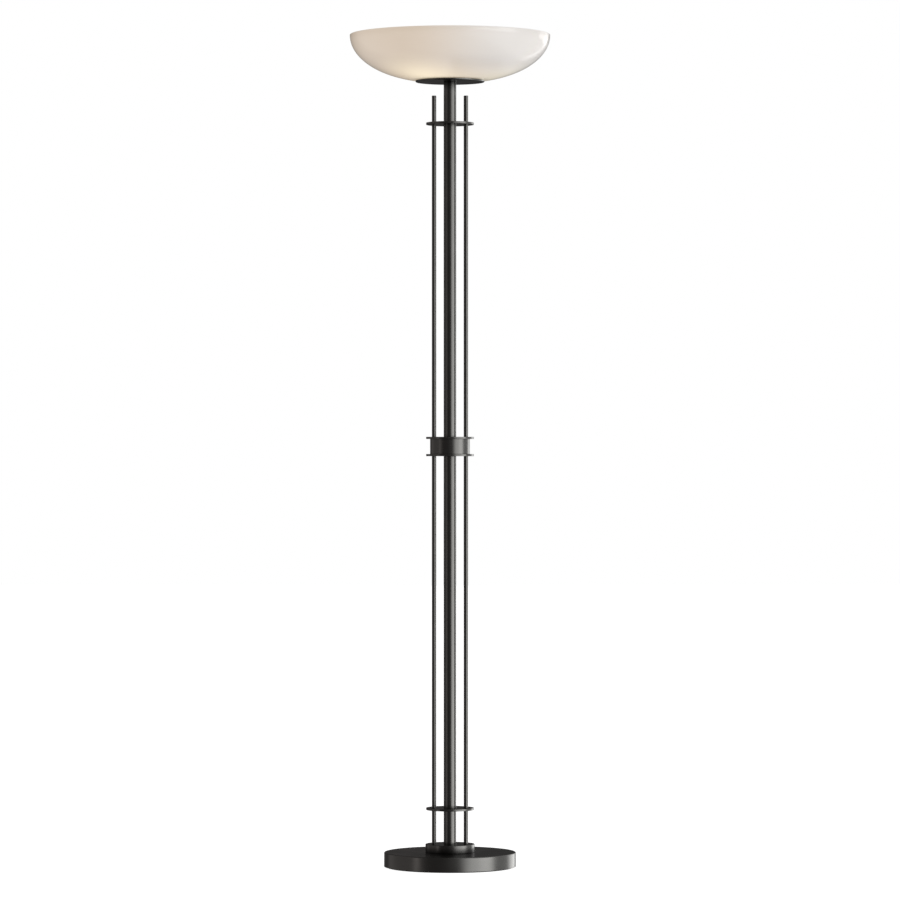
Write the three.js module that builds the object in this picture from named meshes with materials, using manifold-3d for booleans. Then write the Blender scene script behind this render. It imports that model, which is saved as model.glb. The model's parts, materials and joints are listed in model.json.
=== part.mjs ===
/**
 * Torchiere floor lamp.
 *
 * A weighted round base carries a central stem with a thin rod on each side. A drum joins the two halves of
 * the pole, thin rings tie the rods to the stem, and a plate at the top carries a shallow glass bowl that
 * opens upward around a cluster of three bulbs.
 *
 * Millimetres, +Z up. The origin is on the floor at the centre of the base. The rods stand left and right of
 * the stem, along X, and the cord gland is at the back, on +Y. Faces that touch lie on quarter millimetres.
 */
import * as THREE from 'three';
import { mergeVertices } from 'three/addons/utils/BufferGeometryUtils.js';
import Module from 'manifold-3d';

const wasm = await Module();
wasm.setup();

// Driving dimensions: base
const BASE_RADIUS = 140.75;
const BASE_TOP = 32.5;
const COVER_WALL = 2;
const COVER_EDGE = 1.5;
const FELT_RADIUS = 135;
const FELT_THICKNESS = 2;
const BOTTOM_PLATE_RADIUS = 137.5;
const BOTTOM_PLATE_THICKNESS = 2;
const WEIGHT_RADIUS = 125;
const WEIGHT_WEB = 6;
const CAVITY_RADIUS = 30;
const PLATE_SCREW_CIRCLE = 90;
const PLATE_SCREW_ANGLES = [-90, 30, 150];
const PLATE_SCREW_RADIUS = 2;
const PLATE_SCREW_HEAD_RADIUS = 5;
const PLATE_SCREW_DEPTH = 12;
const COLLAR_RADIUS = 52.5;
const COLLAR_HEIGHT = 17.25;
const COLLAR_BORE_DEPTH = 6;
const GLAND_HEIGHT = 13;
const GLAND_HOLE_RADIUS = 6.25;

// Driving dimensions: pole
const STEM_RADIUS = 13.5;
const STEM_WALL = 1.5;
const ROD_RADIUS = 4.75;
const ROD_WALL = 1.5;
const ROD_OFFSET = 34;
const ROD_TOP = 1647.75;
const RING_RADIUS = 51;
const RING_THICKNESS = 4.5;
const LOWER_RING_BOTTOM = 122.5;
const UPPER_RING_BOTTOM = 1585.5;
const DRUM_BOTTOM = 877.75;
const DRUM_TOP = 919;
const DRUM_DISC_THICKNESS = 4.5;
const DRUM_SLEEVE_RADIUS = 42.5;
const DRUM_SLEEVE_WALL = 2;
const INSERT_LENGTH = 30;
const JOINER_REACH = 25;
const STUD_REACH = 28;

// Driving dimensions: head
const SHADE_PLATE_RADIUS = 73.75;
const SHADE_PLATE_BOTTOM = 1676.5;
const SHADE_PLATE_THICKNESS = 3.75;
const LOWER_GASKET_THICKNESS = 0.75;
const BOWL_RADIUS = 214;
const BOWL_RIM = 1778;
const BOWL_WALL = 4.5;
const BOWL_FLOOR = 5;
const BOWL_DEPTH = 101;
const BOWL_FULLNESS = 0.85;
const BOWL_HOLE_RADIUS = 21;
const LOWER_GASKET_RADIUS = 66;
const CLAMP_RADIUS = 36;
const HUB_RADIUS = 20;
const HUB_HALF_HEIGHT = 22;
const SOCKET_RADIUS = 19.5;
const SOCKET_BORE = 15;
const SOCKET_STUB_RADIUS = 5;
const BULB_AXIS_HEIGHT = 1735;
const BULB_ANGLES = [-35, 85, 205];
const BULB_RADIUS = 30;
const BULB_LENGTH = 108;
const BULB_CAP_RADIUS = 13.1;

// Driving dimensions: threads, leads and fits
const NIPPLE_RADIUS = 5;
const NIPPLE_BORE = 3.75;
const NIPPLE_HOLE = 5.25;
const LEAD_RADIUS = 2.75;
const STUD_RADIUS = 3;
const NUT_ACROSS_FLATS = 17;
const FIT = 0.25;
const GAP = 0.3;
const EDGE = 0.5;
const OVERCUT = 1;

// Facets round a full turn, for small, middling and large pieces
const FINE = 12;
const MEDIUM = 20;
const LARGE = 48;
const LEAD_SIDES = 8;

const degrees = THREE.MathUtils.degToRad;

/** The finish of a piece: its colour, how metallic it is and how rough. */
function finish(color, metalness, roughness) {
  return () => new THREE.MeshStandardMaterial({ color, metalness, roughness });
}

const blackenedMetal = finish(0x34312f, 0.85, 0.3);
const castIron = finish(0x45433f, 0.6, 0.75);
const plainSteel = finish(0x9a9a98, 0.9, 0.4);
const brass = finish(0xb8924a, 0.95, 0.3);
const bulbCapMetal = finish(0xb9b9b6, 0.9, 0.35);
const opalGlass = finish(0xe6ddd2, 0, 0.12);
const frostedGlass = finish(0xf4efe4, 0, 0.35);
const blackFelt = finish(0x1d1c1c, 0, 0.95);
const blackNylon = finish(0x171717, 0, 0.5);
const blackRubber = finish(0x2b2a29, 0, 0.8);
const phenolic = finish(0x221c19, 0, 0.45);
const leadSheath = finish(0x1a1a1a, 0, 0.6);

/** A solid of revolution about +Z. The profile lists [radius, height] points, counter-clockwise. */
function turned(profile, facets = MEDIUM) {
  const points = profile.map(([radius, height]) => new THREE.Vector2(radius, height));
  return new THREE.LatheGeometry(points, facets).rotateX(Math.PI / 2);
}

/** The closed profile of a tube or washer, with small chamfers on its outer edges if asked for. */
function ringProfile(outer, inner, bottom, top, chamfer = 0) {
  const edges = chamfer
    ? [[outer - chamfer, bottom], [outer, bottom + chamfer], [outer, top - chamfer], [outer - chamfer, top]]
    : [[outer, bottom], [outer, top]];
  return [[inner, bottom], ...edges, [inner, top], [inner, bottom]];
}

/** A round bar or disc along +Z at (x, y), from one height to another. */
function bar(radius, bottom, top, x = 0, y = 0, facets = FINE) {
  return turned([[0, bottom], [radius, bottom], [radius, top], [0, top]], facets).translate(x, y, 0);
}

/** A manifold solid from a closed geometry. */
function solidOf(geometry) {
  const bare = geometry.clone();
  bare.deleteAttribute('normal');
  bare.deleteAttribute('uv');
  const merged = mergeVertices(bare);
  const vertProperties = new Float32Array(merged.attributes.position.array);
  const triVerts = new Uint32Array(merged.index.array);
  return new wasm.Manifold(new wasm.Mesh({ numProp: 3, vertProperties, triVerts }));
}

/** A geometry from a manifold solid. */
function geometryOf(solid) {
  const { vertProperties, triVerts } = solid.getMesh();
  const geometry = new THREE.BufferGeometry();
  geometry.setAttribute('position', new THREE.BufferAttribute(new Float32Array(vertProperties), 3));
  geometry.setIndex(new THREE.BufferAttribute(new Uint32Array(triVerts), 1));
  geometry.computeVertexNormals();
  return geometry;
}

/** The body with each tool's shape cut out of it. */
function cut(body, tools) {
  return geometryOf(tools.reduce((solid, tool) => solid.subtract(solidOf(tool)), solidOf(body)));
}

/** Two closed geometries as one. */
function joined(first, second) {
  return geometryOf(solidOf(first).add(solidOf(second)));
}

/** A hexagon nut along +Z with a round hole. */
function hexNut(acrossFlats, hole, bottom, top) {
  const corner = acrossFlats / 2 / Math.cos(Math.PI / 6);
  const outline = new THREE.CylinderGeometry(corner, corner, top - bottom, 6).rotateX(Math.PI / 2);
  outline.translate(0, 0, (top + bottom) / 2);
  return cut(outline, [bar(hole, bottom - OVERCUT, top + OVERCUT)]);
}

/** A named mesh of the lamp. */
function piece(name, geometry, material) {
  const mesh = new THREE.Mesh(geometry, material());
  mesh.name = name;
  return mesh;
}

/** Both members of a pair that stands left and right of the stem. */
function leftAndRight(name, geometryAt, material) {
  return [
    piece(`${name}_left`, geometryAt(-ROD_OFFSET), material),
    piece(`${name}_right`, geometryAt(ROD_OFFSET), material),
  ];
}

/** Cutting bars for the two rods or for their screws. */
function rodHoles(radius, bottom, top) {
  return [-ROD_OFFSET, ROD_OFFSET].map((x) => bar(radius, bottom, top, x));
}

/** Points of a quarter-turn of fillet, in the profile plane. */
function fillet(centreRadius, centreHeight, radius, from, to, steps = 3) {
  return Array.from({ length: steps + 1 }, (_, i) => {
    const angle = degrees(from + ((to - from) * i) / steps);
    return [centreRadius + radius * Math.cos(angle), centreHeight + radius * Math.sin(angle)];
  });
}

// ---------------------------------------------------------------------------------------------- base

/** The places of the three screws that hold the bottom plate. */
function plateScrewPlaces() {
  return PLATE_SCREW_ANGLES.map((angle) => [
    PLATE_SCREW_CIRCLE * Math.cos(degrees(angle)),
    PLATE_SCREW_CIRCLE * Math.sin(degrees(angle)),
  ]);
}

/** The felt pad, the bottom plate and its screws. */
function undersideOfBase() {
  const plateTop = FELT_THICKNESS + BOTTOM_PLATE_THICKNESS;
  const headBottom = 0.5;
  const headEdge = 1;
  const slotWidth = 1;
  const headHole = PLATE_SCREW_HEAD_RADIUS + 1.5;
  const shankHole = PLATE_SCREW_RADIUS + FIT;
  const shankTop = FELT_THICKNESS + PLATE_SCREW_DEPTH;
  const drilled = (radius, bottom, top, hole) => {
    const holes = plateScrewPlaces().map(([x, y]) => bar(hole, bottom - OVERCUT, top + OVERCUT, x, y));
    return cut(bar(radius, bottom, top, 0, 0, LARGE), holes);
  };
  const screwProfile = [
    [0, headBottom],
    [PLATE_SCREW_HEAD_RADIUS - 1.5, headBottom],
    [PLATE_SCREW_HEAD_RADIUS, headEdge],
    [PLATE_SCREW_HEAD_RADIUS, FELT_THICKNESS],
    [PLATE_SCREW_RADIUS, FELT_THICKNESS],
    [PLATE_SCREW_RADIUS, shankTop],
    [0, shankTop],
  ];
  const felt = drilled(FELT_RADIUS, 0, FELT_THICKNESS, headHole);
  const plate = drilled(BOTTOM_PLATE_RADIUS, FELT_THICKNESS, plateTop, shankHole);
  const slot = new THREE.BoxGeometry(2 * headHole, slotWidth, 2 * headEdge);
  const screw = cut(turned(screwProfile, FINE), [slot]);

  return [
    piece('base_felt_pad', felt, blackFelt),
    piece('base_bottom_plate', plate, plainSteel),
    ...plateScrewPlaces().map(([x, y], i) =>
      piece(`bottom_plate_screw_${i + 1}`, screw.clone().translate(x, y, 0), plainSteel)),
  ];
}

/** The cast weight: a cavity under its web for the nut, a channel to the back for the lead, screw holes. */
function baseWeight(webUnderside) {
  const bottom = FELT_THICKNESS + BOTTOM_PLATE_THICKNESS;
  const top = BASE_TOP - COVER_WALL;
  const castEdge = 2;
  const channelWidth = 16;
  const channelTop = 20;
  const channelLength = WEIGHT_RADIUS + 10;
  const screwHole = PLATE_SCREW_RADIUS + FIT;
  const channel = new THREE.BoxGeometry(channelWidth, channelLength, channelTop);
  channel.translate(0, channelLength / 2, channelTop / 2);
  const casting = turned(ringProfile(WEIGHT_RADIUS, NIPPLE_HOLE, bottom, top, castEdge), LARGE);
  return cut(casting, [
    bar(CAVITY_RADIUS, 0, webUnderside, 0, 0, MEDIUM),
    channel,
    ...plateScrewPlaces().map(([x, y]) => bar(screwHole, 0, bottom + PLATE_SCREW_DEPTH, x, y)),
  ]);
}

/** The spun cover, with a hole in its back for the gland. */
function baseCover() {
  const underside = BASE_TOP - COVER_WALL;
  const inside = BASE_RADIUS - COVER_WALL;
  const profile = [
    [inside, FELT_THICKNESS],
    [BASE_RADIUS, FELT_THICKNESS],
    ...fillet(BASE_RADIUS - COVER_EDGE, BASE_TOP - COVER_EDGE, COVER_EDGE, 0, 90),
    [NIPPLE_HOLE, BASE_TOP],
    [NIPPLE_HOLE, underside],
    [inside, underside],
    [inside, FELT_THICKNESS],
  ];
  const reach = 20;
  const glandHole = bar(GLAND_HOLE_RADIUS, -reach, reach).rotateX(-Math.PI / 2);
  glandHole.translate(0, BASE_RADIUS, GLAND_HEIGHT);
  return cut(turned(profile, LARGE), [glandHole]);
}

/** The collar that the stem and the rods stand on, bored from below for the screws that hold the rods. */
function baseCollar() {
  const top = BASE_TOP + COLLAR_HEIGHT;
  const boreRadius = 6;
  return cut(turned(ringProfile(COLLAR_RADIUS, NIPPLE_HOLE, BASE_TOP, top, EDGE), LARGE), [
    ...rodHoles(boreRadius, BASE_TOP - OVERCUT, BASE_TOP + COLLAR_BORE_DEPTH),
    ...rodHoles(STUD_RADIUS + FIT, BASE_TOP, top + OVERCUT),
  ]);
}

/** A cap screw that comes up through the collar into the foot of a rod. */
function rodFootScrew() {
  const headTop = BASE_TOP + COLLAR_BORE_DEPTH;
  const headBottom = headTop - 5.5;
  const socketTop = headTop - 2.5;
  const headRadius = 5.5;
  const socketRadius = 2.5;
  const tip = BASE_TOP + COLLAR_HEIGHT + 18;
  const profile = [
    [0, socketTop],
    [socketRadius, socketTop],
    [socketRadius, headBottom],
    [headRadius, headBottom],
    [headRadius, headTop],
    [STUD_RADIUS, headTop],
    [STUD_RADIUS, tip],
    [0, tip],
  ];
  return turned(profile, FINE);
}

function baseOfLamp() {
  const webUnderside = BASE_TOP - COVER_WALL - WEIGHT_WEB;
  const washerRadius = 15;
  const washerBottom = webUnderside - 1.5;
  const lockWasherBottom = washerBottom - 1.25;
  const nutBottom = lockWasherBottom - 5.25;
  const nippleBottom = nutBottom - 1;
  const nippleTop = BASE_TOP + COLLAR_HEIGHT + INSERT_LENGTH;
  const washer = turned(ringProfile(washerRadius, NIPPLE_HOLE, washerBottom, webUnderside));
  const nipple = turned(ringProfile(NIPPLE_RADIUS, NIPPLE_BORE, nippleBottom, nippleTop), FINE);

  return [
    ...undersideOfBase(),
    piece('base_weight', baseWeight(webUnderside), castIron),
    piece('base_cover', baseCover(), blackenedMetal),
    piece('cord_bushing', cordBushing(), blackNylon),
    piece('base_washer', washer, plainSteel),
    piece('base_lock_washer', lockWasher(lockWasherBottom, washerBottom), plainSteel),
    piece('base_nut', hexNut(NUT_ACROSS_FLATS, NIPPLE_HOLE, nutBottom, lockWasherBottom), brass),
    piece('base_nipple', nipple, plainSteel),
    piece('base_collar', baseCollar(), blackenedMetal),
    ...leftAndRight('rod_foot_screw', (x) => rodFootScrew().translate(x, 0, 0), plainSteel),
  ];
}

/** A spring lock washer: a ring split by one saw cut. */
function lockWasher(bottom, top) {
  const radius = 9;
  const sawCut = 1;
  const split = new THREE.BoxGeometry(radius, sawCut, 2 * (top - bottom));
  split.translate(-radius, 0, (bottom + top) / 2);
  return cut(turned(ringProfile(radius, NIPPLE_HOLE, bottom, top), FINE), [split]);
}

/** The flanged bushing that lines the cord hole in the back of the cover, its axis along +Y. */
function cordBushing() {
  const curveAway = 0.75;
  const wallInside = BASE_RADIUS - COVER_WALL - curveAway;
  const wallOutside = BASE_RADIUS + GAP;
  const flange = 2;
  const innerFlangeRadius = 7;
  const outerFlangeRadius = 8;
  const bodyRadius = GLAND_HOLE_RADIUS - 0.5;
  const bore = 3.5;
  const profile = [
    [bore, wallInside - flange],
    [innerFlangeRadius, wallInside - flange],
    [innerFlangeRadius, wallInside],
    [bodyRadius, wallInside],
    [bodyRadius, wallOutside],
    [outerFlangeRadius, wallOutside],
    [outerFlangeRadius, wallOutside + flange - 1],
    [outerFlangeRadius - 1, wallOutside + flange],
    [bore, wallOutside + flange],
    [bore, wallInside - flange],
  ];
  return turned(profile, FINE).rotateX(-Math.PI / 2).translate(0, 0, GLAND_HEIGHT);
}

// ---------------------------------------------------------------------------------------------- pole

/** A disc with a bore for the stem and a hole for each rod or stud that goes through it. */
function rodDisc(bore, rodHole, bottom, thickness) {
  const top = bottom + thickness;
  const disc = turned(ringProfile(RING_RADIUS, bore, bottom, top), LARGE);
  return cut(disc, rodHoles(rodHole, bottom - OVERCUT, top + OVERCUT));
}

/** The upper rod: a tube with a solid, chamfered top. */
function upperRod() {
  const bore = ROD_RADIUS - ROD_WALL;
  const crown = 8;
  const chamfer = 1;
  const profile = [
    [bore, DRUM_TOP],
    [ROD_RADIUS, DRUM_TOP],
    [ROD_RADIUS, ROD_TOP - chamfer],
    [ROD_RADIUS - chamfer, ROD_TOP],
    [0, ROD_TOP],
    [0, ROD_TOP - crown],
    [bore, ROD_TOP - crown],
    [bore, DRUM_TOP],
  ];
  return turned(profile);
}

function poleOfLamp() {
  const poleBottom = BASE_TOP + COLLAR_HEIGHT;
  const stemBore = STEM_RADIUS - STEM_WALL;
  const sleeveBottom = DRUM_BOTTOM + DRUM_DISC_THICKNESS;
  const sleeveTop = DRUM_TOP - DRUM_DISC_THICKNESS;
  const sleeveBore = DRUM_SLEEVE_RADIUS - DRUM_SLEEVE_WALL;
  const joinerBore = 8;

  const stem = (bottom, top) => turned(ringProfile(STEM_RADIUS, stemBore, bottom, top));
  const insert = (bottom) =>
    turned(ringProfile(stemBore - FIT, NIPPLE_HOLE, bottom, bottom + INSERT_LENGTH), FINE);
  const ring = (bottom) => rodDisc(STEM_RADIUS + FIT, ROD_RADIUS + FIT, bottom, RING_THICKNESS);
  const drumDisc = (bottom) => rodDisc(stemBore, STUD_RADIUS + FIT, bottom, DRUM_DISC_THICKNESS);
  const sleeve = turned(ringProfile(DRUM_SLEEVE_RADIUS, sleeveBore, sleeveBottom, sleeveTop), LARGE);
  const joinerEnds = [DRUM_BOTTOM - JOINER_REACH, DRUM_TOP + JOINER_REACH];
  const joiner = ringProfile(stemBore - FIT, joinerBore, ...joinerEnds);
  const lowerRod = turned(ringProfile(ROD_RADIUS, ROD_RADIUS - ROD_WALL, poleBottom, DRUM_BOTTOM));
  const stud = bar(STUD_RADIUS, DRUM_BOTTOM - STUD_REACH, DRUM_TOP + STUD_REACH);
  const at = (geometry) => (x) => geometry.clone().translate(x, 0, 0);

  return [
    piece('lower_stem_tube', stem(poleBottom, DRUM_BOTTOM), blackenedMetal),
    piece('lower_stem_insert', insert(poleBottom), plainSteel),
    piece('lower_spacer_ring', ring(LOWER_RING_BOTTOM), blackenedMetal),
    ...leftAndRight('lower_rod', at(lowerRod), blackenedMetal),
    piece('drum_lower_disc', drumDisc(DRUM_BOTTOM), blackenedMetal),
    piece('drum_sleeve', sleeve, blackenedMetal),
    piece('drum_upper_disc', drumDisc(sleeveTop), blackenedMetal),
    piece('stem_joiner', turned(joiner, FINE), plainSteel),
    ...leftAndRight('rod_stud', at(stud), plainSteel),
    piece('upper_stem_tube', stem(DRUM_TOP, SHADE_PLATE_BOTTOM), blackenedMetal),
    ...leftAndRight('upper_rod', at(upperRod()), blackenedMetal),
    piece('upper_spacer_ring', ring(UPPER_RING_BOTTOM), blackenedMetal),
    piece('upper_stem_insert', insert(SHADE_PLATE_BOTTOM - INSERT_LENGTH), plainSteel),
    piece('inner_lead', innerLead(), leadSheath),
  ];
}

/** The lead from the gland, forward under the nipple, round a tight bend and up the stem to the hub. */
function innerLead() {
  const low = 8;
  const bend = 7;
  const lowFrom = 40;
  const overlap = 5;
  const at = (y, z) => new THREE.Vector3(0, y, z);
  const gland = at(BASE_RADIUS - EDGE, GLAND_HEIGHT);
  const route = new THREE.CurvePath();
  const inward = at(100, GLAND_HEIGHT);
  route.add(new THREE.CubicBezierCurve3(gland, inward, at(2 * lowFrom, low), at(lowFrom, low)));
  route.add(new THREE.LineCurve3(at(lowFrom, low), at(bend, low)));
  route.add(new THREE.QuadraticBezierCurve3(at(bend, low), at(0, low), at(0, low + bend)));
  route.add(new THREE.LineCurve3(at(0, low + bend), at(0, BASE_TOP)));
  const corners = Array.from({ length: LEAD_SIDES }, (_, i) => {
    const angle = (i * 2 * Math.PI) / LEAD_SIDES;
    return new THREE.Vector2(LEAD_RADIUS * Math.cos(angle), LEAD_RADIUS * Math.sin(angle));
  });
  const inBase = new THREE.ExtrudeGeometry(new THREE.Shape(corners), { steps: 48, extrudePath: route });
  const inStem = bar(LEAD_RADIUS, BASE_TOP - overlap, BULB_AXIS_HEIGHT, 0, 0, LEAD_SIDES);
  return joined(inBase, inStem);
}

// ---------------------------------------------------------------------------------------------- head

/** Outer or inner curve of the bowl, from the rim down to a level where it is cut flat. */
function bowlCurve(radius, depth, rimHeight, cutHeight, steps) {
  const last = Math.asin((rimHeight - cutHeight) / depth);
  return Array.from({ length: steps + 1 }, (_, i) => {
    const angle = (last * i) / steps;
    const height = i === steps ? cutHeight : rimHeight - depth * Math.sin(angle);
    return [radius * Math.cos(angle) ** BOWL_FULLNESS, height];
  });
}

/** The bowl: its wall, a small flat lip, and a flat foot with a round hole. */
function bowlGeometry(foot) {
  const lip = 0.5;
  const steps = 8;
  const curveTop = BOWL_RIM - lip;
  const floor = foot + BOWL_FLOOR;
  const inner = BOWL_RADIUS - BOWL_WALL;
  const profile = [
    [BOWL_HOLE_RADIUS, foot],
    ...bowlCurve(BOWL_RADIUS, BOWL_DEPTH, curveTop, foot, steps).reverse(),
    [BOWL_RADIUS - lip, BOWL_RIM],
    [inner + lip, BOWL_RIM],
    ...bowlCurve(inner, BOWL_DEPTH - BOWL_FLOOR, curveTop, floor, steps),
    [BOWL_HOLE_RADIUS, floor],
    [BOWL_HOLE_RADIUS, foot],
  ];
  return turned(profile, LARGE);
}

/** The cup that the sockets screw into. */
function hubCup(bottom, top) {
  const edge = 2;
  const bore = HUB_RADIUS - 2.5;
  const floor = bottom + 6;
  const profile = [
    [NIPPLE_HOLE, bottom],
    [HUB_RADIUS - edge, bottom],
    [HUB_RADIUS, bottom + edge],
    [HUB_RADIUS, top],
    [bore, top],
    [bore, floor],
    [NIPPLE_HOLE, floor],
    [NIPPLE_HOLE, bottom],
  ];
  const stubHole = bar(SOCKET_STUB_RADIUS + 0.5, HUB_RADIUS / 2, HUB_RADIUS + 5);
  return cut(turned(profile), BULB_ANGLES.map((angle) => stubHole.clone().applyMatrix4(bulbPlace(angle))));
}

/** The domed lid of the hub, with a spigot that fits inside the cup. */
function hubLid(seat) {
  const spigotRadius = HUB_RADIUS - 2.75;
  const spigotBore = HUB_RADIUS - 5;
  const spigotEnd = seat - 3;
  const lidRadius = HUB_RADIUS + EDGE;
  return turned([
    [0, seat],
    [spigotBore, seat],
    [spigotBore, spigotEnd],
    [spigotRadius, spigotEnd],
    [spigotRadius, seat],
    [lidRadius, seat],
    [lidRadius, seat + 1.5],
    [spigotBore, seat + 3.5],
    [spigotBore / 2, seat + 4.75],
    [0, seat + 5],
  ]);
}

function headOfLamp() {
  const plateTop = SHADE_PLATE_BOTTOM + SHADE_PLATE_THICKNESS;
  const bowlFoot = plateTop + LOWER_GASKET_THICKNESS;
  const bowlFloor = bowlFoot + BOWL_FLOOR;
  const washerBottom = bowlFloor + 1;
  const nutBottom = washerBottom + 2;
  const nutTop = nutBottom + 6;
  const hubBottom = BULB_AXIS_HEIGHT - HUB_HALF_HEIGHT - 2;
  const hubTop = BULB_AXIS_HEIGHT + HUB_HALF_HEIGHT;
  const nippleBottom = SHADE_PLATE_BOTTOM - INSERT_LENGTH + 8;
  const nippleTop = hubBottom + 5;

  const plate = turned(ringProfile(SHADE_PLATE_RADIUS, NIPPLE_HOLE, SHADE_PLATE_BOTTOM, plateTop), LARGE);
  const nipple = turned(ringProfile(NIPPLE_RADIUS, NIPPLE_BORE, nippleBottom, nippleTop), FINE);
  const lowerGasket = turned(ringProfile(LOWER_GASKET_RADIUS, BOWL_HOLE_RADIUS, plateTop, bowlFoot));
  const bush = turned(ringProfile(BOWL_HOLE_RADIUS - FIT, NIPPLE_HOLE, bowlFoot, bowlFloor));
  const upperGasket = turned(ringProfile(CLAMP_RADIUS, NIPPLE_HOLE, bowlFloor, washerBottom));
  const washer = turned(ringProfile(CLAMP_RADIUS, NIPPLE_HOLE, washerBottom, nutBottom));

  return [
    piece('shade_plate', plate, blackenedMetal),
    piece('head_nipple', nipple, plainSteel),
    piece('lower_gasket', lowerGasket, blackRubber),
    piece('glass_bowl', bowlGeometry(bowlFoot), opalGlass),
    piece('glass_centring_bush', bush, blackNylon),
    piece('upper_gasket', upperGasket, blackRubber),
    piece('clamp_washer', washer, plainSteel),
    piece('clamp_nut', hexNut(NUT_ACROSS_FLATS, NIPPLE_HOLE, nutBottom, nutTop), brass),
    piece('cluster_body', hubCup(hubBottom, hubTop), blackenedMetal),
    piece('cluster_cap', hubLid(hubTop), blackenedMetal),
    ...BULB_ANGLES.map((angle, i) => socketAndBulb(angle, i + 1)),
  ];
}

/** Turns local +Z outward along a bulb's axis. The angle is from the front, -Y, towards +X. */
function bulbPlace(angle) {
  const turn = new THREE.Matrix4().makeRotationZ(degrees(angle));
  const lay = new THREE.Matrix4().makeRotationX(Math.PI / 2);
  return new THREE.Matrix4().makeTranslation(0, 0, BULB_AXIS_HEIGHT).multiply(turn).multiply(lay);
}

/** A lamp socket with its bulb, as a group whose +Z runs outward. Distances are from the stem's axis. */
function socketAndBulb(angle, number) {
  const socketStart = HUB_RADIUS + EDGE;
  const cupFloor = socketStart + 5.5;
  const contactStart = cupFloor + 3.5;
  const capStart = contactStart + 2.75;
  const capEnd = contactStart + 26.5;
  const contactProfile = [
    [0, contactStart],
    [4, contactStart],
    [4.75, contactStart + 0.75],
    [9.5, contactStart + 2.4],
    [0, contactStart + 2.4],
  ];
  const capProfile = [
    [0, capStart],
    [10, capStart],
    [BULB_CAP_RADIUS, capStart + 2.5],
    [BULB_CAP_RADIUS, capEnd],
    [0, capEnd],
  ];

  const glassProfile = bulbProfile(capEnd + GAP, contactStart + BULB_LENGTH);
  const group = new THREE.Group();
  group.applyMatrix4(bulbPlace(angle));
  group.add(
    ...socketAndShell(number, socketStart, cupFloor),
    piece(`bulb_contact_${number}`, turned(contactProfile, FINE), plainSteel),
    piece(`bulb_cap_${number}`, turned(capProfile), bulbCapMetal),
    piece(`bulb_glass_${number}`, turned(glassProfile), frostedGlass),
  );
  return group;
}

/** The moulded socket, a cup with a stub at its back and a boss inside, and the shell that lines it. */
function socketAndShell(number, start, floor) {
  const end = start + 38;
  const stubEnd = start - 3.5;
  const hollowEnd = start + 3.5;
  const hollowRadius = 3;
  const bossRadius = 4;
  const bossTop = floor + 3;
  const mouthEdge = 1;
  const backEdge = 2;
  const socketProfile = [
    [0, hollowEnd],
    [hollowRadius, hollowEnd],
    [hollowRadius, stubEnd],
    [SOCKET_STUB_RADIUS, stubEnd],
    [SOCKET_STUB_RADIUS, start],
    [SOCKET_RADIUS - backEdge, start],
    [SOCKET_RADIUS, start + backEdge],
    [SOCKET_RADIUS, end - mouthEdge],
    [SOCKET_RADIUS - mouthEdge, end],
    [SOCKET_BORE + mouthEdge, end],
    [SOCKET_BORE, end - mouthEdge],
    [SOCKET_BORE, floor],
    [bossRadius, floor],
    [bossRadius, bossTop],
    [0, bossTop],
  ];
  const shellProfile = ringProfile(SOCKET_BORE - FIT, BULB_CAP_RADIUS + 0.65, floor + GAP, end - 1.5);
  return [
    piece(`socket_${number}`, turned(socketProfile), phenolic),
    piece(`socket_shell_${number}`, turned(shellProfile), brass),
  ];
}

/** A pear-shaped glass envelope, open at the neck: the neck widens by a smooth curve into a round end. */
function bulbProfile(neckStart, tip) {
  const wall = 1;
  const neckRadius = 13.5;
  const centre = tip - BULB_RADIUS;
  const widenStart = neckStart + 5;
  const widenSteps = 3;
  const widening = Array.from({ length: widenSteps }, (_, i) => {
    const along = i / widenSteps;
    const radius = neckRadius + (BULB_RADIUS - neckRadius) * THREE.MathUtils.smoothstep(along, 0, 1);
    return [radius, widenStart + (centre - widenStart) * along];
  });
  const envelope = (crownRadius, neckGap) => [
    [neckRadius - neckGap, neckStart],
    ...widening.map(([radius, height]) => [radius - neckGap, height]),
    ...fillet(0, centre, crownRadius, 0, 90, 5),
  ];
  const outside = envelope(BULB_RADIUS, 0);
  const inside = envelope(BULB_RADIUS - wall, wall).reverse();
  return [...outside, ...inside, outside[0]];
}

const lamp = new THREE.Group();
lamp.name = 'torchiere_floor_lamp';
lamp.add(...baseOfLamp(), ...poleOfLamp(), ...headOfLamp());

export default lamp;
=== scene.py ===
"""Torchiere floor lamp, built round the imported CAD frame.

Each visible piece is a fine mesh with a procedural material, in the place and at the size of the CAD node
that it stands for. Lengths are metres, +Z is up and the lamp faces -Y.
"""
import json
import math

import bmesh
import bpy
from mathutils import Matrix, Vector


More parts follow.
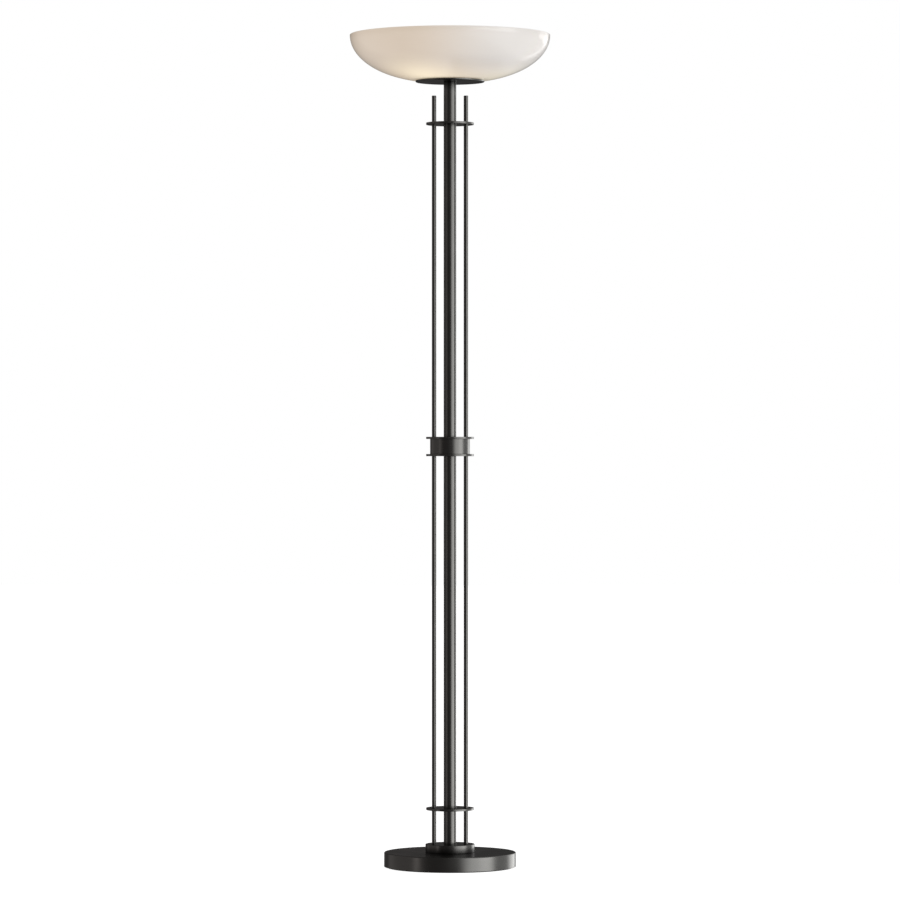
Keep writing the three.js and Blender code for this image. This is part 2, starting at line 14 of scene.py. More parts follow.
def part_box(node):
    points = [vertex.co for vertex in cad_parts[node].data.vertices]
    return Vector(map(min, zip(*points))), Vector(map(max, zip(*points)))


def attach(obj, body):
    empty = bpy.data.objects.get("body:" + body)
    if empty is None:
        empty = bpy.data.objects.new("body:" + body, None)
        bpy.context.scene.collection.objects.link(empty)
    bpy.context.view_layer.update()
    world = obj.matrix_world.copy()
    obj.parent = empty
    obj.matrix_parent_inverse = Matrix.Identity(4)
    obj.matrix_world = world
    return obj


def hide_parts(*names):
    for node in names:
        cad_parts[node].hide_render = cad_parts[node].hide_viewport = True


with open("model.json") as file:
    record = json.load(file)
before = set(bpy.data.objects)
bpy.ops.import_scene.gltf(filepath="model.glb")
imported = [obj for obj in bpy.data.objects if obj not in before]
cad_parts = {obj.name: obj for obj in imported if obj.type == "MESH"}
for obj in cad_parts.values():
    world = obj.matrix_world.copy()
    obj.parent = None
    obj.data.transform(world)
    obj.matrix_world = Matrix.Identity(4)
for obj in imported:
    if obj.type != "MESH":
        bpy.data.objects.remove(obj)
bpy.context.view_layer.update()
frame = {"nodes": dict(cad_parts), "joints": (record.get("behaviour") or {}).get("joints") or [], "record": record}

MM = 0.001
BODY_OF = {n: body for body, nodes in frame["record"]["behaviour"]["bodies"].items() for n in nodes}
SCREWS = [joint for joint in frame["joints"] if joint["type"] == "hinge"]
TAU = 2 * math.pi


# ------------------------------------------------------------------------------------- camera and studio

CAMERA_DISTANCE = 9.634
CAMERA_HEIGHT = 0.8909
CAMERA_LENS = 180.42
SENSOR = 36
CAMERA_REACH = 100


def make_camera():
    """A long lens on a level camera in front of the lamp."""
    data = bpy.data.cameras.new("camera")
    data.lens, data.sensor_width = CAMERA_LENS, SENSOR
    data.clip_end = CAMERA_REACH
    camera = bpy.data.objects.new("camera", data)
    camera.location = (0, -CAMERA_DISTANCE, CAMERA_HEIGHT)
    camera.rotation_euler = (math.pi / 2, 0, 0)
    bpy.context.scene.collection.objects.link(camera)
    bpy.context.scene.camera = camera


class Graph:
    """Short calls for building a node tree."""

    def __init__(self, tree):
        self.tree = tree

    def add(self, kind, inputs=None, **settings):
        """A new node. Its inputs are given by name or number: a socket is linked, and a value is set."""
        node = self.tree.nodes.new(kind)
        for key, value in settings.items():
            setattr(node, key, value)
        for key, value in (inputs or {}).items():
            self.feed(node.inputs[key], value)
        return node

    def feed(self, socket, value):
        """Links a socket to an input, or sets the input to a value."""
        if isinstance(value, bpy.types.NodeSocket):
            self.tree.links.new(value, socket)
        else:
            socket.default_value = value

    def math(self, operation, *values):
        """The result of a Math node."""
        return self.add("ShaderNodeMath", dict(enumerate(values)), operation=operation).outputs[0]

    def remap(self, value, from_low, from_high, to_low=0.0, to_high=1.0, smooth=False):
        """A value moved from one range to another, held at the ends."""
        kind = "SMOOTHSTEP" if smooth else "LINEAR"
        inputs = {"Value": value, "From Min": from_low, "From Max": from_high}
        inputs.update({"To Min": to_low, "To Max": to_high})
        return self.add("ShaderNodeMapRange", inputs, interpolation_type=kind).outputs["Result"]

    def window(self, value, low, high):
        """1 between the low edge and the high one. Each edge is a place and how soft it is."""
        (start, rising), (end, falling) = low, high
        rise = self.remap(value, start - rising, start + rising, smooth=True)
        fall = self.remap(value, end - falling, end + falling, 1.0, 0.0, smooth=True)
        return self.math("MULTIPLY", rise, fall)

    def mix(self, factor, first, second):
        """A blend of two colours."""
        node = self.add("ShaderNodeMix", data_type="RGBA")
        self.feed(node.inputs["Factor"], factor)
        for name, colour in (("A", first), ("B", second)):
            socket = next(s for s in node.inputs if s.name == name and s.type == "RGBA")
            self.feed(socket, (*colour, 1) if isinstance(colour, tuple) else colour)
        return next(s for s in node.outputs if s.type == "RGBA")

    def blend(self, factor, first, second):
        """A blend of two shaders."""
        return self.add("ShaderNodeMixShader", {0: factor, 1: first, 2: second}).outputs[0]

    def scaled(self, colour, amount, more=(0.0, 0.0, 0.0)):
        """A colour times an amount, added to another colour."""
        inputs = {0: colour, 1: amount, 2: more}
        return self.add("ShaderNodeVectorMath", inputs, operation="MULTIPLY_ADD").outputs["Vector"]

    def noise(self, where, scale, detail=3.0, roughness=0.5):
        """Soft noise about 0.5, with so many waves in a metre."""
        inputs = {"Vector": where, "Scale": scale, "Detail": detail, "Roughness": roughness}
        return self.add("ShaderNodeTexNoise", inputs).outputs["Fac"]


# What the lamp mirrors. Each light: the azimuths where it begins and ends, from the camera round towards
# +X, each with its softness, then the same for its elevations, and its brightness. Angles are in degrees.
STUDIO_DARK = 0.076
FRONT_RIGHT = [
    (((29, 11), (82, 6)), ((-9, 3), (3, 13)), 2.55),
    (((54, 6), (79, 5)), ((-9, 3), (14, 12)), 0.95),
]
BACK_RIGHT = [
    (((125.5, 4), (154, 3)), ((-8, 3), (2, 3)), 2.2),
    (((127, 5), (154, 3)), ((2, 3), (28, 10)), 0.9),
    (((110, 12), (154, 3)), ((-48, 8), (-10, 5)), 0.35),
    (((150.5, 2), (153.5, 2)), ((-29, 4), (-5, 4)), 0.9),
]
BACK = [
    (((154, 4), (173, 6)), ((-65, 8), (50, 8)), 0.22),
    (((162, 6), (190, 1)), ((-12, 4), (28, 10)), 0.03),
    (((-190, 1), (-162, 6)), ((-12, 4), (28, 10)), 0.05),
]
LEFT = [
    (((-136, 7), (-50, 7)), ((-65, 8), (50, 8)), 0.2),
    (((-132, 8), (-112, 6)), ((-65, 8), (50, 8)), 0.06),
    (((-65.5, 2), (-56, 2)), ((-20, 8), (-1, 4)), 0.55),
]
FRONT = [
    (((-54, 8), (60, 8)), ((-65, 8), (50, 8)), 0.03),
    (((-4, 7), (60, 8)), ((-20, 8), (50, 8)), 0.08),
]
STUDIO_WARM = (1.055, 0.985, 0.955)
STUDIO_WHITE = (1.0, 0.998, 0.985)
WARM_UNTIL = (-20, 30)

# The bright wall on the right: its azimuths, its brightness, and the slope and softness of its lower edge.
WALL = ((19, 7), (158, 4))
WALL_BRIGHT = 0.65
WALL_FOOT = 1.4
WALL_FOOT_SOFT = 0.1

# The light on surfaces that don't mirror: its level, how much more comes from +X, and its colour.
AMBIENT = 0.38
AMBIENT_SLOPE = 0.37
AMBIENT_COLOUR = (1, 0.995, 0.985, 1)
BACKDROP_WHITE = 1.0


def make_world():
    """A white backdrop for the camera, and a dark studio for the lamp, with a bright wall and lights."""
    world = bpy.data.worlds.new("studio")
    bpy.context.scene.world = world
    world.use_nodes = True
    graph = Graph(world.node_tree)
    world.node_tree.nodes.clear()
    direction = graph.add("ShaderNodeTexCoord").outputs["Generated"]
    split = graph.add("ShaderNodeSeparateXYZ", {"Vector": direction})
    towards_camera = graph.math("MULTIPLY", split.outputs["Y"], -1.0)
    azimuth = graph.math("DEGREES", graph.math("ARCTAN2", split.outputs["X"], towards_camera))
    elevation = graph.math("DEGREES", graph.math("ARCSINE", split.outputs["Z"]))
    light = STUDIO_DARK
    for across, upward, brightness in FRONT_RIGHT + BACK_RIGHT + BACK + LEFT + FRONT:
        patch = graph.math("MULTIPLY", graph.window(azimuth, *across), graph.window(elevation, *upward))
        light = graph.math("MULTIPLY_ADD", patch, brightness, light)
    over_foot = graph.math("MULTIPLY_ADD", split.outputs["X"], WALL_FOOT, split.outputs["Z"])
    lower_edge = graph.remap(over_foot, -WALL_FOOT_SOFT, WALL_FOOT_SOFT, smooth=True)
    wall = graph.math("MULTIPLY", graph.window(azimuth, *WALL), lower_edge)
    light = graph.math("MULTIPLY_ADD", wall, WALL_BRIGHT, light)
    tint = graph.mix(graph.remap(azimuth, *WARM_UNTIL), STUDIO_WARM, STUDIO_WHITE)
    mirrored = graph.add("ShaderNodeBackground", {"Strength": light, "Color": tint})
    level = graph.math("MULTIPLY_ADD", split.outputs["X"], AMBIENT_SLOPE, AMBIENT)
    ambient = graph.add("ShaderNodeBackground", {"Strength": level, "Color": AMBIENT_COLOUR})
    backdrop = graph.add("ShaderNodeBackground", {"Strength": BACKDROP_WHITE, "Color": (1, 1, 1, 1)})
    rays = graph.add("ShaderNodeLightPath").outputs
    lamp_light = graph.blend(rays["Is Diffuse Ray"], mirrored.outputs[0], ambient.outputs[0])
    both = graph.blend(rays["Is Camera Ray"], lamp_light, backdrop.outputs[0])
    graph.add("ShaderNodeOutputWorld", {"Surface": both})


FLOOR_HALF = 20
FLOOR_GREY = (0.5, 0.5, 0.5, 1)
FLOOR_GLOW = 0.95


def make_floor():
    """A plain pale floor. It is seen from above only, and the lamp neither mirrors it nor is lit by it."""
    bm = bmesh.new()
    bmesh.ops.create_grid(bm, x_segments=8, y_segments=8, size=FLOOR_HALF)
    data = bpy.data.meshes.new("floor")
    bm.to_mesh(data)
    bm.free()
    floor = bpy.data.objects.new("floor", data)
    bpy.context.scene.collection.objects.link(floor)
    material = bpy.data.materials.new("floor_white")
    material.use_nodes = True
    graph = Graph(material.node_tree)
    material.node_tree.nodes.clear()
    paper = graph.add("ShaderNodeBsdfDiffuse", {"Color": FLOOR_GREY})
    glow = graph.add("ShaderNodeEmission", {"Color": (1, 1, 1, 1), "Strength": FLOOR_GLOW})
    bright = graph.add("ShaderNodeAddShader", {0: paper.outputs[0], 1: glow.outputs[0]})
    clear = graph.add("ShaderNodeBsdfTransparent")
    below = graph.add("ShaderNodeNewGeometry").outputs["Backfacing"]
    side = graph.blend(below, bright.outputs[0], clear.outputs[0])
    graph.add("ShaderNodeOutputMaterial", {"Surface": side})
    data.materials.append(material)
    floor.visible_glossy = False
    floor.visible_diffuse = False


# ------------------------------------------------------------------------------------- materials

NOISE_SPAN = (0.3, 0.7)


def new_material(name):
    """A material with its graph, its Principled shader, and the surface's own coordinates in metres."""
    material = bpy.data.materials.new(name)
    material.use_nodes = True
    graph = Graph(material.node_tree)
    shader = material.node_tree.nodes["Principled BSDF"]
    where = graph.add("ShaderNodeTexCoord").outputs["Object"]
    return material, graph, shader, where


def roughen(graph, shader, where, scale, strength, distance, detail=4.0):
    """Fine relief from noise, given by its scale, its strength, its depth and its detail."""
    height = graph.noise(where, scale, detail)
    inputs = {"Height": height, "Strength": strength, "Distance": distance}
    graph.feed(shader.inputs["Normal"], graph.add("ShaderNodeBump", inputs).outputs["Normal"])


def mottled(name, dark, light, rough, scales, metallic=0.0, relief=(900, 0.05, 0.2 * MM)):
    """A surface whose colour drifts between two tones and whose gloss varies, with a fine relief.

    The scales are those of the tone's noise and the gloss's. The relief is its noise's scale, its strength
    and its depth.
    """
    material, graph, shader, where = new_material(name)
    broad = graph.remap(graph.noise(where, scales[0]), *NOISE_SPAN)
    graph.feed(shader.inputs["Base Color"], graph.mix(broad, dark, light))
    fine = graph.noise(where, scales[1])
    graph.feed(shader.inputs["Roughness"], graph.remap(fine, *NOISE_SPAN, *rough))
    shader.inputs["Metallic"].default_value = metallic
    roughen(graph, shader, where, *relief)
    return material


# Blackened metal: its two tones, the darker tone of painted shade near corners, how rough it is, and the colour it
# takes at grazing angles on upright surfaces and on flat ones, dimmer on flat ones as painted shade on their
# reflections. A surface counts as flat between these heights of its normal.
# A grain is how many waves in a metre its lines have along X, Y and Z.
METAL_DARK = (0.113, 0.112, 0.108)
METAL_LIGHT = (0.129, 0.128, 0.125)
METAL_PAINTED_SHADE = (0.04, 0.039, 0.038)
METAL_ROUGHNESS = (0.2, 0.27)
METAL_SIDE_EDGE = (1.0, 1.0, 1.0)
METAL_FLAT_EDGE_PAINTED_SHADE = (0.47, 0.47, 0.47)
METAL_FLAT_FROM = (0.6, 0.9)
METAL_GLOSS_SPAN = (0.4, 1.4)
METAL_CLOUD = 22
METAL_RELIEF = 0.015
TURNED_GRAIN = (60, 60, 2200)
DRAWN_GRAIN = (1800, 1800, 9)

# How far the painted shade reaches from a corner: at the collar's foot, and at the stem's top.
COLLAR_PAINTED_SHADE_REACH = 12.5 * MM
STEM_PAINTED_SHADE_REACH = 18 * MM


def blackened_metal(name, grain, corner=None):
    """Satin blackened metal: a dark patina with cloudy tone, and fine lines along the way it was finished.

    Painted shade darkens it towards a corner, which is given by its height and how far from there it is dark.
    """
    material, graph, shader, where = new_material(name)
    cloud = graph.remap(graph.noise(where, METAL_CLOUD, 5), *NOISE_SPAN)
    stretched = graph.add("ShaderNodeMapping", {"Vector": where, "Scale": grain}).outputs["Vector"]
    lines = graph.noise(stretched, 1.0, 4, 0.6)
    tone = graph.mix(cloud, METAL_DARK, METAL_LIGHT)
    # Painted shade: the tone darkens towards the corner's height.
    if corner:
        height, reach = corner
        up = graph.add("ShaderNodeSeparateXYZ", {"Vector": where}).outputs["Z"]
        clear = graph.remap(graph.math("ABSOLUTE", graph.math("SUBTRACT", up, height)), 0.0, reach)
        tone = graph.mix(clear, METAL_PAINTED_SHADE, tone)
    graph.feed(shader.inputs["Base Color"], tone)
    shader.inputs["Metallic"].default_value = 1.0
    # Painted shade on reflections: flat faces get a dimmer colour at grazing angles than upright ones.
    facing = graph.add("ShaderNodeTexCoord").outputs["Normal"]
    normal = graph.add("ShaderNodeSeparateXYZ", {"Vector": facing})
    flat = graph.remap(graph.math("ABSOLUTE", normal.outputs["Z"]), *METAL_FLAT_FROM)
    graph.feed(shader.inputs["Specular Tint"], graph.mix(flat, METAL_SIDE_EDGE, METAL_FLAT_EDGE_PAINTED_SHADE))
    gloss = graph.remap(graph.math("ADD", cloud, lines), *METAL_GLOSS_SPAN, *METAL_ROUGHNESS)
    graph.feed(shader.inputs["Roughness"], gloss)
    inputs = {"Height": lines, "Strength": METAL_RELIEF, "Distance": 0.2 * MM}
    graph.feed(shader.inputs["Normal"], graph.add("ShaderNodeBump", inputs).outputs["Normal"])
    return material


def glow_from(graph, where, centres, softening):
    """How strongly a point is lit from these centres: the sum of inverse squares of the distances."""
    total = 0.0
    for centre in centres:
        distance = graph.add("ShaderNodeVectorMath", {0: where, 1: centre}, operation="DISTANCE")
        away = distance.outputs["Value"]
        squared = graph.math("MULTIPLY_ADD", away, away, softening ** 2)
        total = graph.math("ADD", graph.math("DIVIDE", softening ** 2, squared), total)
    return total


# Opal glass. Its light is warm on the left and pale on the right, where it is also a little weaker.
OPAL_DARK = (0.785, 0.765, 0.745)
OPAL_LIGHT = (0.805, 0.79, 0.775)
OPAL_CLOUD = 9
OPAL_CLOUD_SPAN = (0.25, 0.75)
OPAL_SMUDGES = 40
OPAL_WAVES = (14, 0.04, 1 * MM, 2)
OPAL_IOR = 1.42
OPAL_ROUGHNESS = (0.09, 0.13)
OPAL_COAT_ROUGHNESS = 0.11
OPAL_WARM = (1.0, 0.785, 0.575)
OPAL_PALE = (1.0, 0.94, 0.89)
OPAL_AMBER = (1.0, 0.73, 0.47)
OPAL_YELLOW = (1.0, 0.98, 0.66)
OPAL_LEFT = 0.47
OPAL_RIGHT = 0.385

# White light that is added at the left and right edges, along the rim, and in two patches on the right.
OPAL_EDGE = 0.105
OPAL_RIGHT_EDGE = -0.06
OPAL_RIM = -0.035
OPAL_RIGHT_RIM = -0.13
OPAL_RIGHT_FOOT = -0.07

# Low down the glass glows amber, and where a bulb is near it glows yellow.
OPAL_LOW = 0.205
OPAL_HOT = 0.365
GLOW_SOFTENING = 35 * MM
GLOW_BACK = 20 * MM
GLOW_FROM = (0.14, 0.42)

# Where each change begins and ends: across the bowl, below its top, or above its foot.
TINT_ACROSS = (-80 * MM, 130 * MM)
LEVEL_ACROSS = (-130 * MM, 130 * MM)
EDGE_ACROSS = (-100 * MM, -180 * MM)
RIGHT_EDGE_ACROSS = (120 * MM, 200 * MM)
RIGHT_RIM_ACROSS = (186 * MM, 198 * MM)
RIGHT_FOOT_ACROSS = ((2 * MM, 14 * MM), (115 * MM, 20 * MM))
RIM_BELOW = (16 * MM, 4 * MM)
RIGHT_RIM_BELOW = ((3 * MM, 2 * MM), (20 * MM, 4 * MM))
LOW_ABOVE = (38 * MM, 3 * MM)
RIGHT_FOOT_ABOVE = (42 * MM, 22 * MM)


def opal_edges(graph, place, foot, top):
    """The white light that is added to the glass, or taken from it, by where a point is on the bowl."""
    left = graph.remap(place["X"], *EDGE_ACROSS, 0.0, OPAL_EDGE)
    right = graph.remap(place["X"], *RIGHT_EDGE_ACROSS, 0.0, OPAL_RIGHT_EDGE)
    below = graph.math("SUBTRACT", top, place["Z"])
    above = graph.math("SUBTRACT", place["Z"], foot)
    rim = graph.remap(below, *RIM_BELOW, 0.0, OPAL_RIM)
    across = graph.remap(place["X"], *RIGHT_RIM_ACROSS, 0.0, OPAL_RIGHT_RIM)
    downward = graph.window(below, *RIGHT_RIM_BELOW)
    right_rim = graph.math("MULTIPLY", across, downward)
    across = graph.window(place["X"], *RIGHT_FOOT_ACROSS)
    upward = graph.remap(above, *RIGHT_FOOT_ABOVE, 0.0, OPAL_RIGHT_FOOT)
    right_foot = graph.math("MULTIPLY", across, upward)
    edges = 0.0
    for shade in (left, right, rim, right_rim, right_foot):
        edges = graph.math("ADD", shade, edges)
    return edges


def opal_glass(centres, foot, top):
    """Thick glossy opal glass, lit from inside by the bulbs. The foot and top are the bowl's heights."""
    material, graph, shader, where = new_material("opal_glass")
    cloud = graph.remap(graph.noise(where, OPAL_CLOUD, 4), *OPAL_CLOUD_SPAN)
    graph.feed(shader.inputs["Base Color"], graph.mix(cloud, OPAL_DARK, OPAL_LIGHT))
    place = graph.add("ShaderNodeSeparateXYZ", {"Vector": where}).outputs
    tint = graph.mix(graph.remap(place["X"], *TINT_ACROSS, smooth=True), OPAL_WARM, OPAL_PALE)
    even = graph.remap(place["X"], *LEVEL_ACROSS, OPAL_LEFT, OPAL_RIGHT, smooth=True)
    near_foot = graph.remap(graph.math("SUBTRACT", place["Z"], foot), *LOW_ABOVE)
    low = graph.math("MULTIPLY", graph.math("MULTIPLY", near_foot, near_foot), OPAL_LOW)
    hot = graph.remap(glow_from(graph, where, centres, GLOW_SOFTENING), *GLOW_FROM, 0.0, OPAL_HOT)
    light = graph.scaled(tint, even)
    light = graph.scaled(OPAL_AMBER, low, light)
    light = graph.scaled(OPAL_YELLOW, hot, light)
    light = graph.scaled((1.0, 1.0, 1.0), opal_edges(graph, place, foot, top), light)
    graph.feed(shader.inputs["Emission Color"], light)
    shader.inputs["Emission Strength"].default_value = 1.0
    gloss = graph.remap(graph.noise(where, OPAL_SMUDGES), *NOISE_SPAN, *OPAL_ROUGHNESS)
    graph.feed(shader.inputs["Roughness"], gloss)
    shader.inputs["Specular IOR Level"].default_value = 0.0
    shader.inputs["Coat Weight"].default_value = 1.0
    shader.inputs["Coat Roughness"].default_value = OPAL_COAT_ROUGHNESS
    shader.inputs["Coat IOR"].default_value = OPAL_IOR
    roughen(graph, shader, where, *OPAL_WAVES)
    graph.feed(shader.inputs["Coat Normal"], shader.inputs["Normal"].links[0].from_socket)
    return material


BULB_DARK = (0.86, 0.84, 0.8)
BULB_PALE = (0.92, 0.9, 0.86)
BULB_WARM = (1.0, 0.82, 0.58)
BULB_BRIGHT = (1.0, 0.87, 0.68)
BULB_LIGHT = 1.15
BULB_ROUGHNESS = (0.35, 0.5)
BULB_GRAIN = 600
BULB_DRIFT = 18
BULB_FROST = (1500, 0.15, 0.1 * MM)


def bulb_glass():
    """Frosted glass of a lit bulb, its light drifting a little between two warm tones."""
    material, graph, shader, where = new_material("bulb_glass")
    grain = graph.noise(where, BULB_GRAIN, 3)
    graph.feed(shader.inputs["Base Color"], graph.mix(grain, BULB_DARK, BULB_PALE))
    graph.feed(shader.inputs["Roughness"], graph.remap(grain, *NOISE_SPAN, *BULB_ROUGHNESS))
    cloud = graph.noise(where, BULB_DRIFT, 2)
    graph.feed(shader.inputs["Emission Color"], graph.mix(cloud, BULB_WARM, BULB_BRIGHT))
    shader.inputs["Emission Strength"].default_value = BULB_LIGHT
    roughen(graph, shader, where, *BULB_FROST)
    return material


def glow_centre(bulb, place):
    """The point in a bulb that its glow in the opal glass is centred on."""
    span = along(bulb, place)
    return place @ Vector((0, 0, span.end - span.outer - GLOW_BACK))


def make_materials():
    """Every material, by the name that the pieces use."""
    # The collar's foot and the stem's top get painted shade.
    collar_painted_shade = (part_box("base_collar")[0][2], COLLAR_PAINTED_SHADE_REACH)
    stem_top_painted_shade = (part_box("shade_plate")[0][2], STEM_PAINTED_SHADE_REACH)
    bowl_foot, bowl_top = (corner[2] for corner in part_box("glass_bowl"))
    centres = [glow_centre(f"bulb_glass_{i}", outward(joint)) for i, joint in enumerate(SCREWS, 1)]
    return {
        "metal_turned": blackened_metal("blackened_metal_turned", TURNED_GRAIN),
        "metal_drawn": blackened_metal("blackened_metal_drawn", DRAWN_GRAIN),
        "collar_metal_painted_shade": blackened_metal("blackened_metal_painted_shade_collar", TURNED_GRAIN, collar_painted_shade),
        "stem_top_metal_painted_shade": blackened_metal("blackened_metal_painted_shade_stem_top", DRAWN_GRAIN, stem_top_painted_shade),
        "opal": opal_glass(centres, bowl_foot, bowl_top),
        "bulb": bulb_glass(),
        "steel": mottled(
            "plain_steel", (0.42, 0.42, 0.41), (0.55, 0.55, 0.54), (0.28, 0.42), (60, 500),
            metallic=1.0,
        ),
        "brass": mottled(
            "brass", (0.52, 0.33, 0.11), (0.66, 0.44, 0.17), (0.2, 0.34), (80, 500),
            metallic=1.0,
        ),
        "cap": mottled(
            "bulb_cap_metal", (0.55, 0.55, 0.54), (0.68, 0.68, 0.66), (0.22, 0.36), (120, 600),
            metallic=1.0,
        ),
        "iron": mottled(
            "cast_iron", (0.05, 0.048, 0.045), (0.09, 0.086, 0.08), (0.6, 0.85), (40, 250),
            metallic=0.7, relief=(350, 0.5, 0.8 * MM),
        ),
        "felt": mottled(
            "black_felt", (0.010, 0.010, 0.010), (0.026, 0.025, 0.025), (0.9, 1.0), (700, 900),
            relief=(1600, 0.8, 0.6 * MM),
        ),
        "nylon": mottled(
            "black_nylon", (0.008, 0.008, 0.008), (0.014, 0.014, 0.014), (0.4, 0.55), (90, 700),
        ),
        "rubber": mottled(
            "black_rubber", (0.018, 0.017, 0.016), (0.03, 0.029, 0.028), (0.7, 0.9), (150, 900),
            relief=(1200, 0.3, 0.3 * MM),
        ),
        "phenolic": mottled(
            "phenolic", (0.011, 0.008, 0.007), (0.02, 0.015, 0.012), (0.28, 0.45), (120, 700),
        ),
        "insulator": mottled(
            "insulator_glass", (0.006, 0.006, 0.007), (0.012, 0.011, 0.012), (0.08, 0.2), (200, 800),
        ),
        "solder": mottled(
            "solder", (0.5, 0.5, 0.49), (0.68, 0.68, 0.67), (0.3, 0.5), (400, 1500),
            metallic=1.0, relief=(900, 0.4, 0.3 * MM),
        ),
        "sheath": mottled(
            "lead_sheath", (0.009, 0.009, 0.009), (0.016, 0.016, 0.016), (0.5, 0.65), (90, 800),
        ),
    }


# ------------------------------------------------------------------------------------- mesh building

class Span:
    """How far a node reaches along an axis, and its least and greatest distance from that axis."""

    def __init__(self, points):
        radii = [math.hypot(p.x, p.y) for p in points]
        self.start, self.end = min(p.z for p in points), max(p.z for p in points)
        self.inner, self.outer = min(radii), max(radii)


def along(node, place=Matrix()):
    """A node's Span along the Z axis of a place."""
    back = place.inverted()
    return Span([back @ v.co for v in frame["nodes"][node].data.vertices])


def upright(node):
    """The place of a piece that stands upright: its own axis, at the floor's height."""
    low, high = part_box(node)
    return Matrix.Translation(((low[0] + high[0]) / 2, (low[1] + high[1]) / 2, 0))


def outward(joint):
    """The place whose Z axis runs out along a bulb's thread, from the lamp's axis."""
    axis = Vector(joint["axis"])
    return Matrix.Translation(joint["pos_m"]) @ axis.to_track_quat("Z", "Y").to_matrix().to_4x4()


def rounded(corners, closed=True, steps=4):
    """A profile from (radius, height, fillet) corners, each one rounded by its fillet."""
    points = []
    for i, (radius, height, fillet) in enumerate(corners):
        here = Vector((radius, height))
        if not fillet or (not closed and i in (0, len(corners) - 1)):
            points.append(here)
            continue
        into = Vector(corners[i - 1][:2]) - here
        out = Vector(corners[(i + 1) % len(corners)][:2]) - here
        reach = min(fillet, into.length * 0.49, out.length * 0.49)
        start, end = here + into.normalized() * reach, here + out.normalized() * reach
        for step in range(steps + 1):
            t = step / steps
            points.append(start.lerp(here, t).lerp(here.lerp(end, t), t))
    return points


def tube_corners(inner, outer, start, end, edge, bore_edge):
    """The corners of a ring or tube, with the fillets of its outer edges and of its bore's."""
    return [(inner, start, bore_edge), (outer, start, edge), (outer, end, edge), (inner, end, bore_edge)]


def object_from(name, bm):
    """A new object from a bmesh, its faces turned outward."""
    data = bpy.data.meshes.new(name)
    bmesh.ops.recalc_face_normals(bm, faces=bm.faces)
    bm.to_mesh(data)
    bm.free()
    made = bpy.data.objects.new(name, data)
    bpy.context.scene.collection.objects.link(made)
    return made


def revolve(name, profile, place=Matrix(), segments=96, closed=True, shape=None):
    """A mesh turned about Z. The shape, if given, says the radius at (angle, radius, height)."""
    bm = bmesh.new()
    rings = []
    for point in profile:
        count = segments if point.x > 1e-6 else 1
        ring = []
        for s in range(count):
            angle = TAU * s / segments
            radius = shape(angle, point.x, point.y) if shape and count > 1 else point.x
            ring.append(bm.verts.new((radius * math.cos(angle), radius * math.sin(angle), point.y)))
        rings.append(ring)
    following = rings[1:] + (rings[:1] if closed else [])
    for lower, upper in zip(rings, following):
        for s in range(segments):
            after = (s + 1) % segments
            corners = [lower[s % len(lower)], lower[after % len(lower)]]
            corners += [upper[after % len(upper)], upper[s % len(upper)]]
            corners = list(dict.fromkeys(corners))
            if len(corners) > 2:
                bm.faces.new(corners)
    bm.transform(place)
    return object_from(name, bm)


def cut(body, tools):
    """The body with each tool's shape cut out, for good."""
    for tool in tools:
        modifier = body.modifiers.new("cut", "BOOLEAN")
        modifier.object, modifier.operation, modifier.solver = tool, "DIFFERENCE", "EXACT"
        result = body.evaluated_get(bpy.context.evaluated_depsgraph_get())
        mesh = bpy.data.meshes.new_from_object(result)
        body.modifiers.clear()
        body.data = mesh
        bpy.data.objects.remove(tool)
    return body


def rod(radius, start, end, place):
    """A plain round tool for cutting."""
    profile = [Vector((0, start)), Vector((radius, start)), Vector((radius, end)), Vector((0, end))]
    return revolve("tool", profile, place, 48, closed=False)


def finished(obj, node, material, sharp=32):
    """Smooths a piece, gives it its material, and puts it in the place of a CAD node."""
    obj.name = f"{node}_fine"
    obj.data.name = obj.name
    obj.data.shade_smooth()
    obj.data.set_sharp_from_angle(angle=math.radians(sharp))
    weighted = obj.modifiers.new("normals", "WEIGHTED_NORMAL")
    weighted.keep_sharp = True
    obj.data.materials.clear()
    obj.data.materials.append(material)
    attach(obj, BODY_OF[node])
    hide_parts(node)


def turned_ring(node, material, edge, segments=96):
    """A plain ring, disc or tube in the place of a node."""
    place = upright(node)
    span = along(node, place)
    corners = tube_corners(span.inner, span.outer, span.start, span.end, edge, edge)
    finished(revolve(node, rounded(corners), place, segments), node, material)


# ------------------------------------------------------------------------------------- base

COVER_WALL = 2 * MM
OUTLET_HOLE = 6.25 * MM
FLANGE = 2 * MM
FLANGE_RADIUS = 7 * MM
BUSHING_RADIUS = 5.75 * MM
FELT_HOLE = 6.5 * MM
PLATE_HOLE = 2.25 * MM
PLATE_SCREWS = [f"bottom_plate_screw_{i}" for i in (1, 2, 3)]
SCREW_HEAD = 1.5 * MM
SCREW_RADIUS = 2 * MM
SCREW_POINT = 1.5 * MM
SCREW_SLOT = (12 * MM, 1.1 * MM, 1.4 * MM)
SCREW_TURN = math.radians(35)


def make_base(paint):
    """The base, from the felt up to the collar round the stem's foot."""
    outlet = cord_outlet()
    make_base_cover(outlet, paint["metal_turned"])
    make_cord_bushing(outlet, paint["nylon"])
    make_underside("base_felt_pad", FELT_HOLE, 0.5 * MM, paint["felt"])
    make_underside("base_bottom_plate", PLATE_HOLE, 0.3 * MM, paint["steel"])
    for node in PLATE_SCREWS:
        make_pan_screw(node, paint["steel"])
    make_base_collar(paint["collar_metal_painted_shade"])


def cord_outlet():
    """The place whose Z axis runs out to the back through the cord outlet."""
    low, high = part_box("cord_bushing")
    return Matrix.Translation((0, 0, (low[2] + high[2]) / 2)) @ Matrix.Rotation(-math.pi / 2, 4, "X")


